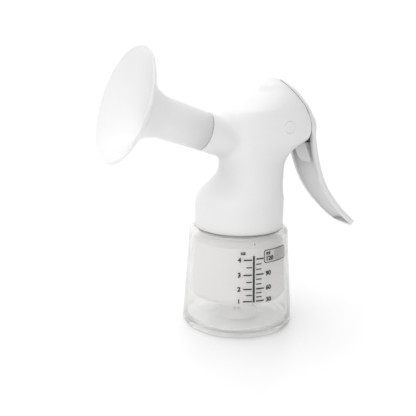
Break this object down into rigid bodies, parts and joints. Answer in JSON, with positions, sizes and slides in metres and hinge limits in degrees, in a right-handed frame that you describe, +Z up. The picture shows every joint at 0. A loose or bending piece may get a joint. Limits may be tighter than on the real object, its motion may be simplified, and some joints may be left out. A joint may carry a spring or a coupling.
{
  "type": "breast pump",
  "caption": "Manual breast pump: clear soft funnel, white pump head with squeeze lever, and wide-neck bottle with a soft inner bag.",
  "frame": {"origin": "centre of the bottle's foot, on the surface it stands on", "axes": "+Z up along the bottle's axis, -X towards the funnel, +X towards the lever"},
  "size_m": [0.1969, 0.0768, 0.1891],
  "materials": {
    "white_plastic": "smooth satin white polypropylene",
    "lever_plastic": "smooth satin white polypropylene",
    "cap_plastic": "smooth white plastic",
    "bush_plastic": "natural acetal",
    "bottle_plastic": "clear polypropylene, slightly cloudy",
    "bag_silicone": "milky translucent silicone",
    "seal_silicone": "translucent silicone",
    "valve_silicone": "translucent silicone",
    "funnel_silicone": "frosted translucent silicone",
    "steel": "ground stainless steel"
  },
  "bodies": {
    "bottle": {"bottle": "bottle_plastic", "vent_disc": "seal_silicone", "inner_bag": "bag_silicone"},
    "seal": {"neck_seal": "seal_silicone"},
    "head": {"pump_body": "white_plastic", "duckbill_valve": "valve_silicone", "diaphragm": "valve_silicone", "diaphragm_ring": "white_plastic", "pivot_pin": "steel", "pivot_cap_left": "cap_plastic", "pivot_cap_right": "cap_plastic"},
    "lever": {"lever_shell": "lever_plastic", "lever_arm": "white_plastic", "pivot_bush_left": "bush_plastic", "pivot_bush_right": "bush_plastic", "link_pin": "steel"},
    "stem": {"stem": "white_plastic", "stem_washer": "white_plastic", "stem_clip": "steel"},
    "funnel": {"funnel": "funnel_silicone"}
  },
  "joints": [
    {"name": "neck_lift", "type": "slide", "parent": "bottle", "child": "seal", "axis": [0, 0, 1], "range_m": [0, 0.0066]},
    {"name": "head_turn", "type": "hinge", "parent": "seal", "child": "head", "pos_m": [0, 0, 0.0864], "axis": [0, 0, 1], "range_deg": [0, 396]},
    {"name": "lever_squeeze", "type": "hinge", "parent": "head", "child": "lever", "pos_m": [0.026, 0, 0.137], "axis": [0, 1, 0], "range_deg": [0, 18], "stiffness_Nm_per_rad": 0.8, "springref_deg": -8.59},
    {"name": "stem_pull", "type": "slide", "parent": "head", "child": "stem", "axis": [0.3252, 0, 0.9456], "range_m": [0, 0.0058], "stiffness_N_per_m": 0.1, "springref_m": 0.0715, "deforming": ["diaphragm"]},
    {"name": "funnel_pull", "type": "slide", "parent": "head", "child": "funnel", "axis": [-0.9456, 0, 0.3252], "range_m": [0, 0.03]}
  ],
  "couplings": [
    {"joint": "head_turn", "follows": "neck_lift", "rad_per_m": 1047.2},
    {"joint": "stem_pull", "follows": "lever_squeeze", "m_per_rad": 0.01825}
  ]
}
